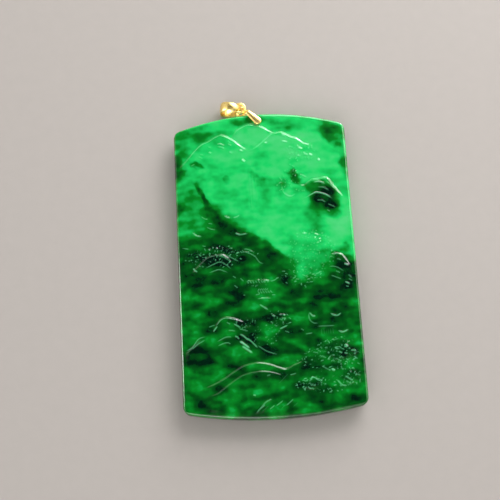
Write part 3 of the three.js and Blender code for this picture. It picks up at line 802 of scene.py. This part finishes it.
# Patches of tone in the stone, from 0, nearly black, to 1, milky green: tone, middle, half axes, turn in
# degrees, softness and strength. Most are the stone's own mottling; the patch under the leaf is painted
# shadow, and the terrace shade is partly painted shade.
PATCHES = {
    "left field": (0.6, (-15.8, 13.2), (3.8, 8.6), 0, 0.5, 0.95),
    "top left": (0.62, (-14, 26.4), (6, 5), 0, 0.5, 0.7),
    "lower right field": (0.3, (13, -13), (9, 13.5), 0, 0.3, 1),
    "upper right glow": (0.86, (9.6, 23), (6.5, 5.5), 0, 0.6, 0.8),
    "right glow": (0.96, (15.2, 7.8), (2.4, 5.6), 0, 0.6, 0.9),
    "middle glow": (0.84, (3.6, 8.5), (4, 5), 0, 0.7, 0.6),
    "grassy corner": (0.52, (-12.9, 28.5), (2.3, 1.3), -28, 0.7, 0.8),
    "grassy side": (0.54, (-16.6, 26), (1.4, 2.5), 0, 0.7, 0.7),
    "grassy top": (0.5, (-3.9, 31.2), (1.7, 0.9), 0, 0.7, 0.8),
    # Painted shadow: the stone darkened where the gold leaf and ring shade it.
    "painted shadow under the leaf": (0.36, (-0.2, 31.3), (2.4, 0.9), 0, 0.7, 0.7),
    "haze middle peak": (0.97, (-1.4, 27.4), (2.9, 2.1), 0, 0.5, 0.85),
    "haze left peak": (0.88, (-8.8, 24.2), (4.6, 2.6), 0, 0.8, 0.6),
    "haze right peak": (0.94, (4.6, 25), (3.6, 2.2), -10, 0.6, 0.75),
    "haze waterfall": (0.96, (-2, 15.6), (0.8, 5.2), 0, 0.7, 0.35),
    "left dark": (0.16, (-17.3, 21.4), (1.3, 1.9), 0, 0.6, 0.85),
    "left dark low": (0.2, (-17.2, 11.8), (1.2, 1.7), 0, 0.6, 0.8),
    "small dark": (0.3, (-13.2, 21.4), (1.1, 0.5), -28, 0.6, 0.85),
    "streak upper": (0.2, (-12.2, 14.2), (0.8, 3.2), 22, 0.5, 0.9),
    "streak lower": (0.24, (-9.6, 10), (0.8, 2.5), 44, 0.5, 0.9),
    "round spot": (0.58, (-7.2, 18.2), (1, 0.95), 0, 0.4, 0.8),
    "inner diagonal": (0.54, (-1.2, 17.4), (0.8, 3.7), 33, 0.6, 0.8),
    "top stain": (0.54, (4.6, 29.4), (2.2, 1.7), 0, 0.6, 0.75),
    "top right stain": (0.26, (15.4, 27.2), (3.4, 2), -36, 0.7, 0.9),
    "right stain": (0.36, (17.5, 20.2), (1.2, 2.4), 0, 0.6, 0.9),
    "cliff pine shade": (0.2, (6.9, 17.9), (2, 0.9), -38, 0.7, 0.9),
    "cliff pine shade left": (0.5, (4.1, 16.6), (1.2, 2), 0, 0.7, 0.7),
    "dark heart": (0, (12.9, 12.8), (2.3, 3.8), 36, 0.6, 1),
    "dark heart tail": (0.46, (11, 9.2), (2, 2.8), 0, 0.7, 0.85),
    "diagonal shade": (0.22, (-0.6, 3.1), (5.6, 1.5), -34, 0.5, 0.9),
    "great tree": (0.74, (8.4, 0.8), (4.3, 4.6), 0, 0.8, 0.8),
    "hill pine": (0.02, (-8.8, 1.4), (5, 2.2), -6, 0.6, 0.9),
    "hill shade": (0.12, (-10, -4.4), (5.2, 2.8), 0, 0.7, 0.8),
    "hill shade right": (0.04, (-5.6, -5), (1.5, 2.8), 18, 0.6, 0.8),
    "side rock": (0.02, (15.2, -2.4), (2, 3.6), 16, 0.6, 0.95),
    "side glow": (0.46, (16.6, 1.6), (1.2, 1), 0, 0.5, 0.8),
    "centre shade": (0.12, (3.2, -4.4), (1.8, 1.6), 0, 0.7, 0.8),
    "right shade": (0.14, (10, -8.4), (5.4, 2.2), 0, 0.7, 0.8),
    "pavilion light": (0.5, (-1.3, -7.8), (3, 2.2), 0, 0.6, 0.8),
    "valley light": (0.42, (7.2, -6.4), (1.5, 2.2), 0, 0.7, 0.6),
    "middle pine": (0.04, (1.3, -11.7), (2.2, 1.8), -30, 0.6, 0.85),
    "terrace pine": (0.05, (-5.2, -11.8), (1.9, 1.4), -20, 0.6, 0.85),
    # Partly the stone's dark tone, partly painted shade deepened beside the bright terrace cuts.
    "terrace shade": (0, (-4, -16.6), (2.9, 1.5), -40, 0.6, 0.9),
    "shore stain": (0.07, (-14.8, -17.2), (2, 1.2), 20, 0.6, 0.8),
    "shore stain low": (0.03, (-14.5, -19.7), (2.2, 1.2), 0, 0.6, 0.85),
    "bank pine": (0.22, (13.2, -19.4), (3.6, 2.2), 0, 0.7, 0.5),
    "bank shade": (0.13, (7.2, -22), (2, 3), -20, 0.7, 0.8),
    "foot shade": (0.13, (8.2, -26.4), (2, 2.4), 0, 0.7, 0.7),
    "foot right": (0.07, (14.6, -28), (1.7, 1.1), 0, 0.6, 0.8),
    "foot left": (0.1, (-13, -27.2), (2, 1.3), 0, 0.6, 0.8),
    "foot middle": (0.12, (-6.4, -27.3), (2, 1.7), 0, 0.7, 0.7),
    "foot light": (0.44, (-2.8, -28), (1.5, 2.4), 0, 0.6, 0.7),
    "right strip": (0.42, (17.6, -17.3), (0.9, 2.6), 0, 0.6, 0.7),
}
# The bright field lies above a line through this point, with this normal. Its edge eases over this reach.
BRIGHT_FIELD = {
    "through": (-3.6, 6.6),
    "normal": (0.629, 0.777),
    "edge": (-1.8, 2.2),
    "tones": (0.31, 0.74),
}
# How far the stone's flow pushes the patches, and how its blotches lie: stretched, and deeper in deep stone.
FLOW_PUSH = (4.2, 4.2, 0.0)
BLOTCH_STRETCH = (0.72, 1.3, 1.0)
BLOTCH_DEPTH = {"in_deep": 0.216, "in_bright": 0.102}
# The cuts' heights between which their painted highlight comes in, and its greatest share: a paler green that
# stands in for the light the raised cuts catch.
CUT_HIGHLIGHT_SHOWS = {"from": 0.02, "to": 0.11, "share": 0.6}

# Polish: the scale of its marks, its smoothest and roughest places, and how strong and high its waves are.
JADE_POLISH = {"scale": 2.2, "smoothest": 0.07, "roughest": 0.17, "strength": 0.12, "height": 0.00012}
GOLD_POLISH = {"scale": 3.5, "smoothest": 0.24, "roughest": 0.36, "strength": 0.2, "height": 0.0001}
JADE_INSIDE = {
    "IOR": 1.66,
    "Subsurface Weight": 0.35,
    "Subsurface Radius": (0.4, 1.0, 0.5),
    "Subsurface Scale": 0.0012,
}


def fill(tree, node, inputs):
    """Fills a node's inputs with values or links."""
    for key, value in inputs.items():
        if isinstance(value, bpy.types.NodeSocket):
            tree.links.new(value, node.inputs[key])
        else:
            node.inputs[key].default_value = value


def add(tree, kind, inputs=None, **settings):
    """Adds a node, sets its properties and fills its inputs."""
    node = tree.nodes.new(kind)
    for key, value in settings.items():
        setattr(node, key, value)
    fill(tree, node, inputs or {})
    return node


def number(tree, operation, first, second, **settings):
    """One calculation on two numbers."""
    return add(tree, "ShaderNodeMath", {0: first, 1: second}, operation=operation, **settings).outputs[0]


def vector(tree, operation, first, second):
    """One calculation on two vectors."""
    node = add(tree, "ShaderNodeVectorMath", {0: first, 1: second}, operation=operation)
    return node.outputs["Value" if operation == "DOT_PRODUCT" else "Vector"]


def ranged(tree, value, start, end, low, high, way="LINEAR"):
    """Carries a value from one range to another and holds it there."""
    return add(tree, "ShaderNodeMapRange", {
        "Value": value, "From Min": start, "From Max": end, "To Min": low, "To Max": high,
    }, interpolation_type=way).outputs[0]


def noise(tree, place_mm, scale, detail, roughness=0.5):
    """The outputs of a cloudy noise."""
    return add(tree, "ShaderNodeTexNoise", {
        "Vector": place_mm, "Scale": scale, "Detail": detail, "Roughness": roughness,
    }).outputs


def mixed_colour(tree, share, first, second):
    """A share of the second colour laid over the first, each a socket or three plain values."""
    pair = [c if isinstance(c, bpy.types.NodeSocket) else (*c, 1.0) for c in (first, second)]
    return add(tree, "ShaderNodeMix", {0: share, 6: pair[0], 7: pair[1]}, data_type="RGBA").outputs[2]


def new_group(name, inputs, outputs):
    """An empty node group. Inputs are vectors or numbers, as their defaults are. Outputs are numbers."""
    group = bpy.data.node_groups.new(name, "ShaderNodeTree")
    for label, default in inputs.items():
        kind = "NodeSocketVector" if isinstance(default, tuple) else "NodeSocketFloat"
        socket = group.interface.new_socket(name=label, in_out="INPUT", socket_type=kind)
        socket.default_value = default
    for label in outputs:
        group.interface.new_socket(name=label, in_out="OUTPUT", socket_type="NodeSocketFloat")
    return group, group.nodes.new("NodeGroupInput").outputs, group.nodes.new("NodeGroupOutput")


def soft_patch_group():
    """A mask that is 1 inside an ellipse and eases to 0 outside it, from the length of the place measured in
    the ellipse's own half axes."""
    group, given, out = new_group(
        "Soft Patch",
        {
            "Vector": (0, 0, 0), "Middle": (0, 0, 0), "Half Axes": (1, 1, 1), "Turn": (0, 0, 0),
            "Softness": 0.5,
        },
        ["Mask"],
    )
    local = add(group, "ShaderNodeMapping", {
        "Vector": given["Vector"], "Location": given["Middle"], "Rotation": given["Turn"],
        "Scale": given["Half Axes"],
    }, vector_type="TEXTURE")
    away = add(group, "ShaderNodeVectorMath", {0: local.outputs[0]}, operation="LENGTH").outputs["Value"]
    inner = number(group, "SUBTRACT", 1.0, given["Softness"])
    outer = number(group, "ADD", 1.0, given["Softness"])
    fill(group, out, {"Mask": ranged(group, away, inner, outer, 1.0, 0.0, "SMOOTHSTEP")})
    return group


def hand_polish_group():
    """The marks of hand polishing: a slow waviness for the height, and a finer cloudiness for roughness."""
    group, given, out = new_group(
        "Hand Polish",
        {"Vector": (0, 0, 0), "Scale": 1.0, "Smoothest": 0.08, "Roughest": 0.2},
        ["Roughness", "Height"],
    )
    fine = noise(group, given["Vector"], given["Scale"], 4.0, 0.6)["Fac"]
    slow = number(group, "MULTIPLY", given["Scale"], 0.35)
    wavy = noise(group, given["Vector"], slow, 2.0)["Fac"]
    rough = ranged(group, fine, 0.3, 0.7, given["Smoothest"], given["Roughest"])
    fill(group, out, {"Roughness": rough, "Height": wavy})
    return group


def the_group(name, maker):
    """A node group by name, made the first time it is asked for."""
    return bpy.data.node_groups.get(name) or maker()


def hand_polish(tree, shader, place_mm, scale, smoothest, roughest, strength, height):
    """Gives a shader its polish: fills its roughness, bends its normal, and returns the waviness."""
    polish = add(tree, "ShaderNodeGroup", {
        "Vector": place_mm, "Scale": scale, "Smoothest": smoothest, "Roughest": roughest,
    }, node_tree=the_group("Hand Polish", hand_polish_group)).outputs
    bump = add(tree, "ShaderNodeBump", {
        "Height": polish["Height"], "Strength": strength, "Distance": height,
    })
    fill(tree, shader, {"Roughness": polish["Roughness"], "Normal": bump.outputs[0]})
    return polish["Height"]


def drawing_place(tree):
    """The place on the piece in the drawing's millimetres."""
    coordinates = add(tree, "ShaderNodeTexCoord")
    mapping = add(tree, "ShaderNodeMapping", {
        "Vector": coordinates.outputs["Object"],
        "Location": tuple(-v / MM for v in DRAWING),
        "Scale": (1 / MM, 1 / MM, 1 / MM),
    })
    return mapping.outputs[0]


def new_material(name):
    """A material with a bare Principled shader, and its tree."""
    material = bpy.data.materials.new(name)
    material.use_nodes = True
    tree = material.node_tree
    tree.nodes.clear()
    shader = tree.nodes.new("ShaderNodeBsdfPrincipled")
    output = tree.nodes.new("ShaderNodeOutputMaterial")
    tree.links.new(shader.outputs[0], output.inputs["Surface"])
    return material, tree, shader


def stone_tone(tree, place_mm):
    """The stone's tone: a bright field over a deep one, patches laid on it one after another, and blotches
    that are strongest where the stone is deep."""
    warp = vector(tree, "SUBTRACT", noise(tree, place_mm, 0.3, 2.0)["Color"], (0.5, 0.5, 0.5))
    moved = vector(tree, "ADD", place_mm, vector(tree, "MULTIPLY", warp, FLOW_PUSH))
    flat = vector(tree, "MULTIPLY", moved, (1.0, 1.0, 0.0))
    across = vector(tree, "DOT_PRODUCT", flat, (*BRIGHT_FIELD["normal"], 0.0))
    line = sum(a * b for a, b in zip(BRIGHT_FIELD["through"], BRIGHT_FIELD["normal"]))
    start, end = (line + reach for reach in BRIGHT_FIELD["edge"])
    tone = ranged(tree, across, start, end, *BRIGHT_FIELD["tones"], "SMOOTHSTEP")
    patch = the_group("Soft Patch", soft_patch_group)
    for target, middle, half, turn, softness, strength in PATCHES.values():
        mask = add(tree, "ShaderNodeGroup", {
            "Vector": flat, "Middle": (*middle, 0.0), "Half Axes": (*half, 1.0),
            "Turn": (0.0, 0.0, math.radians(turn)), "Softness": softness,
        }, node_tree=patch)
        share = number(tree, "MULTIPLY", mask.outputs[0], strength)
        tone = add(tree, "ShaderNodeMix", {0: share, 2: tone, 3: target}, data_type="FLOAT").outputs[0]
    lying = add(tree, "ShaderNodeMapping", {"Vector": place_mm, "Scale": BLOTCH_STRETCH}).outputs[0]
    blotch = ranged(tree, noise(tree, lying, 0.36, 1.2, 0.55)["Fac"], 0.32, 0.68, -1.0, 1.0)
    cloud = ranged(tree, noise(tree, place_mm, 0.8, 1.0)["Fac"], 0.3, 0.7, -0.3, 0.3)
    depth = ranged(tree, tone, 0.3, 0.7, BLOTCH_DEPTH["in_deep"], BLOTCH_DEPTH["in_bright"])
    shift = number(tree, "MULTIPLY", number(tree, "ADD", blotch, cloud), depth)
    return number(tree, "ADD", tone, shift, use_clamp=True)


def jade_material(sizes):
    """Polished jade: mottled greens from nearly black to yellowish, lit from within, with a painted highlight
    of paler green along the raised cuts.
    """
    material, tree, shader = new_material("Polished jade")
    place_mm = drawing_place(tree)
    ramp = add(tree, "ShaderNodeValToRGB", {"Fac": stone_tone(tree, place_mm)})
    colours = [sizes.darkest, sizes.deep, sizes.middle, sizes.bright, sizes.palest]
    stops = ramp.color_ramp.elements
    while len(stops) < len(colours):
        stops.new(0.5)
    for k, colour in enumerate(colours):
        stops[k].position = k / (len(colours) - 1)
        stops[k].color = (*colour, 1.0)
    ridge = add(tree, "ShaderNodeAttribute", attribute_name="ridge").outputs["Fac"]
    # Painted highlight: the taller a cut, the more of the paler green is laid on it, for the light it
    # catches.
    paler = ranged(tree, ridge, CUT_HIGHLIGHT_SHOWS["from"], CUT_HIGHLIGHT_SHOWS["to"], 0.0, CUT_HIGHLIGHT_SHOWS["share"])
    hand_polish(tree, shader, place_mm, **JADE_POLISH)
    colour = mixed_colour(tree, paler, ramp.outputs[0], sizes.painted_cut_highlight)
    fill(tree, shader, {"Base Color": colour, **JADE_INSIDE})
    return material


def gold_material(sizes):
    """Polished gold with soft handling marks and a slightly redder tone in its clouds."""
    material, tree, shader = new_material("Polished gold")
    clouds = hand_polish(tree, shader, drawing_place(tree), **GOLD_POLISH)
    tint = mixed_colour(tree, clouds, sizes.gold, sizes.gold_shade)
    fill(tree, shader, {"Base Color": tint, "Metallic": 1.0})
    return material


def the_gold(sizes):
    """The gold, made the first time it is asked for."""
    return bpy.data.materials.get("Polished gold") or gold_material(sizes)


def floor_material(sizes):
    """A plain pale matt board with the faintest unevenness."""
    material, tree, shader = new_material("Pale board")
    grain = noise(tree, add(tree, "ShaderNodeTexCoord").outputs["Object"], 400.0, 3.0)["Fac"]
    darker = [0.94 * v for v in sizes.floor]
    fill(tree, shader, {"Base Color": mixed_colour(tree, grain, sizes.floor, darker), "Roughness": 0.85})
    return material


def colour_property(name, description, default):
    """A colour that the user can change, held as linear values."""
    return FloatVectorProperty(name=name, description=description, default=default, subtype="COLOR", size=3,
                               min=0.0, max=1.0)


def power_property(name, description, default):
    """A lamp's power that the user can change."""
    return FloatProperty(name=name, description=description, default=default, unit="POWER")


class TabletSizes(PropertyGroup):
    """What can be changed on the jade tablet."""

    across: IntProperty(name="Cells across", description="Cells of the carved face from side to side",
                        default=222, min=40, max=230)
    along: IntProperty(name="Cells along", description="Cells of the carved face from foot to top",
                       default=380, min=60, max=390)
    depth: FloatProperty(name="Carving depth", description="Share of the full depth of the carving",
                         default=1.0, min=0.0, max=1.5, subtype="FACTOR")
    darkest: colour_property("Darkest green", "Nearly black spots in the stone", (0.0, 0.013, 0.005))
    deep: colour_property("Deep green", "The stone's deep parts", (0.001, 0.08, 0.007))
    middle: colour_property("Middle green", "The stone's middle tone", (0.002, 0.223, 0.017))
    bright: colour_property("Bright green", "The stone's clear bright parts", (0.012, 0.57, 0.125))
    palest: colour_property("Palest green", "The milky parts", (0.075, 0.6, 0.19))
    # Painted highlight: the paler green laid along the raised cuts for the light they catch.
    painted_cut_highlight: colour_property("Cuts", "The paler green along the graver's cuts", (0.19, 0.87, 0.4))


class BailSizes(PropertyGroup):
    """What can be changed on the gold bail."""

    gold: colour_property("Gold", "The gold's main tone", (1.0, 0.78, 0.29))
    gold_shade: colour_property("Gold shade", "The redder tone in the gold's clouds", (0.94, 0.65, 0.2))


class StageSizes(PropertyGroup):
    """What can be changed on the stage."""

    floor: colour_property("Floor", "The board that the pendant lies on", (0.44, 0.404, 0.378))
    floor_size: FloatProperty(name="Floor size", description="Side of the board", default=3.0, unit="LENGTH")
    key: power_property("Key light", "Power of the main softbox", 2.05)
    right: power_property("Right light", "Power of the right softbox", 0.5)
    front: power_property("Front light", "Power of the front softbox", 0.7)
    sky: FloatProperty(name="Room light", description="Strength of the room's light", default=0.7,
                       min=0.0, max=2.0)


class PENDANT_OT_tablet(Operator):
    """Make the carved jade tablet."""

    bl_idname = "pendant.tablet"
    bl_label = "Jade Tablet"

    def execute(self, context):
        sizes = context.scene.pendant_tablet
        points, quads, cap, ridge = tablet_mesh(sizes.across, sizes.along, sizes.depth)
        blank = mesh_of("Jade tablet", points, quads, [cap])
        blank.attributes.new("ridge", "FLOAT", "POINT").data.foreach_set("value", ridge.astype(np.float32))
        hole = post(HOLE_RADIUS, -DRILL["below"], GROUND + DRILL["above"], DRILL["sides"])
        drill = mesh_of("Drill", hole.reshape(-1, 3) + (*HOLE, 0.0), *tube_faces(hole))
        bit = linked("Drill", drill)
        bored = finished(blank, ("BOOLEAN", {"operation": "DIFFERENCE", "object": bit, "solver": "EXACT"}))
        bpy.data.objects.remove(bit)
        place(bored, "Carved_tablet", "plaque", "jade_plaque", jade_material(sizes))
        return {"FINISHED"}


class PENDANT_OT_leaves(Operator):
    """Make the bail's two gold leaves."""

    bl_idname = "pendant.leaves"
    bl_label = "Gold Leaves"

    def execute(self, context):
        gold = the_gold(context.scene.pendant_bail)
        for name, (node, z, eye_z) in LEAVES.items():
            place(leaf_mesh(name, z, eye_z), name, "bail", node, gold)
        return {"FINISHED"}


class PENDANT_OT_ring(Operator):
    """Make the bail's tapered gold ring."""

    bl_idname = "pendant.ring"
    bl_label = "Gold Ring"

    def execute(self, context):
        sections = ring_band()
        out = LEAF["eye_at"]
        eyes = (HOLE[0] + out * math.cos(LEAF_TURN), HOLE[1] + out * math.sin(LEAF_TURN), RING["z"])
        points = turned(sections.reshape(-1, 3), RING_TURN, eyes)
        mesh = mesh_of("Ring", points, *tube_faces(sections, end_to_end=True))
        place(mesh, "Tapered_ring", "bail", "bail_ring", the_gold(context.scene.pendant_bail))
        return {"FINISHED"}


# The stage, in metres. Each softbox: its side, azimuth from +X towards +Y, elevation and distance.
FLOOR_GAP = 0.00002
SOFTBOXES = {"key": (0.36, 62, 33, 0.45), "right": (0.3, 20, 36, 0.5), "front": (0.3, 250, 38, 0.5)}
SOFTBOX_TARGET = (0, 0, 0.003)
# Strips that only show in polished edges: radiance, sides, place and target.
EDGE_STRIPS = {
    "Window": (26.0, (0.1, 0.1), (0.209, 0.361, 0.169), (0.0, -0.01, 0.004)),
    "Left edge": (12.0, (0.08, 0.25), (-0.34, 0.06, 0.2), (-0.018, -0.016, 0.004)),
    "Foot edge": (2.2, (0.4, 0.1), (-0.02, -0.4, 0.2), (0.0, -0.034, 0.004)),
}
# The room's dark part: its direction, the cosines at which its edge begins and ends, and its own light.
DARK_PART = {"towards": (0.0, 0.275, 0.961), "edge": (0.8, 0.93), "light": 0.01}
ROOM_COLOUR = (1.0, 0.985, 0.96, 1.0)
CAMERA = {"place": (-0.00207, -0.05027, 0.17969), "turn": 1.39, "tilt": 16.05, "roll": -4.76}
LENS = {"lens": 64.8, "sensor_width": 36.0, "clip_start": 0.001}


def lamp(name, power, sides, place_at, target):
    """A rectangular soft lamp at a place, facing a target."""
    light = bpy.data.lights.new(name, "AREA")
    light.shape = "RECTANGLE"
    light.size, light.size_y = sides
    light.energy = power
    holder = linked(name, light)
    way = (Vector(target) - Vector(place_at)).to_track_quat("-Z", "Y")
    holder.matrix_world = Matrix.Translation(place_at) @ way.to_matrix().to_4x4()
    return holder


def softbox(name, power, side, azimuth, elevation, distance):
    """A square softbox round the pendant: azimuth from +X towards +Y, elevation above the floor."""
    a, e = math.radians(azimuth), math.radians(elevation)
    spot = distance * Vector((math.cos(a) * math.cos(e), math.sin(a) * math.cos(e), math.sin(e)))
    lamp(name, power, (side, side), spot, SOFTBOX_TARGET)


def edge_strip(name, radiance, sides, place_at, target):
    """A strip that is only seen in polished edges and sheds no light on the floor."""
    strip = lamp(name, radiance * math.pi * sides[0] * sides[1], sides, place_at, target)
    strip.visible_diffuse = False


def room(strength):
    """A pale room with one dark part, the part that the flat of the face mirrors: its light rises with the
    angle between the direction looked in and the middle of that part."""
    world = bpy.data.worlds.new("Room")
    world.use_nodes = True
    tree = world.node_tree
    looked = add(tree, "ShaderNodeTexCoord").outputs["Generated"]
    nearness = vector(tree, "DOT_PRODUCT", looked, DARK_PART["towards"])
    level = ranged(tree, nearness, *DARK_PART["edge"], strength, DARK_PART["light"], "SMOOTHSTEP")
    fill(tree, tree.nodes["Background"], {"Color": ROOM_COLOUR, "Strength": level})
    return world


def floor_board(sizes):
    """A square board just under the tablet's lowest point."""
    half, z = sizes.floor_size / 2, CAD_LOW.z - FLOOR_GAP
    corners = np.array([[-half, -half, z], [half, -half, z], [half, half, z], [-half, half, z]])
    mesh = mesh_of("Floor", corners, np.array([[0, 1, 2, 3]]))
    mesh.materials.append(floor_material(sizes))
    return linked("Floor", mesh)


def camera_view():
    """The camera above the tablet's foot, tilted back to look up along the tablet."""
    lens = bpy.data.cameras.new("Camera")
    for key, value in LENS.items():
        setattr(lens, key, value)
    camera = linked("Camera", lens)
    matrix = Matrix.Translation(CAMERA["place"])
    for part, axis in (("turn", "Z"), ("tilt", "X"), ("roll", "Z")):
        matrix = matrix @ Matrix.Rotation(math.radians(CAMERA[part]), 4, axis)
    camera.matrix_world = matrix
    return camera


class PENDANT_OT_stage(Operator):
    """Lay the floor and set the lights and the camera."""

    bl_idname = "pendant.stage"
    bl_label = "Stage"

    def execute(self, context):
        sizes = context.scene.pendant_stage
        floor = floor_board(sizes)
        for name, where in SOFTBOXES.items():
            softbox(name.title(), getattr(sizes, name), *where)
        for name, strip in EDGE_STRIPS.items():
            edge_strip(name, *strip)
        context.scene.world = room(sizes.sky)
        context.scene.camera = camera_view()
        context.scene.view_settings.view_transform = "Standard"
        return {"FINISHED"}


STEPS = ("pendant.stage", "pendant.tablet", "pendant.leaves", "pendant.ring")


class PENDANT_PT_panel(Panel):
    """Lists the pendant's pieces."""

    bl_idname = "PENDANT_PT_panel"
    bl_label = "Jade Pendant"
    bl_space_type = "VIEW_3D"
    bl_region_type = "UI"
    bl_category = "Pendant"

    def draw(self, context):
        for step in STEPS:
            self.layout.operator(step)


SIZES = {"pendant_tablet": TabletSizes, "pendant_bail": BailSizes, "pendant_stage": StageSizes}
OPERATORS = (PENDANT_OT_stage, PENDANT_OT_tablet, PENDANT_OT_leaves, PENDANT_OT_ring)
CLASSES = (*SIZES.values(), *OPERATORS, PENDANT_PT_panel)


def register():
    for kind in CLASSES:
        bpy.utils.register_class(kind)
    for name, kind in SIZES.items():
        setattr(bpy.types.Scene, name, PointerProperty(type=kind))


def unregister():
    for name in SIZES:
        delattr(bpy.types.Scene, name)
    for kind in reversed(CLASSES):
        bpy.utils.unregister_class(kind)


def main():
    """Makes the pendant and its stage."""
    register()
    for step in STEPS:
        group, action = step.split(".")
        getattr(getattr(bpy.ops, group), action)()


if __name__ == "__main__":
    main()
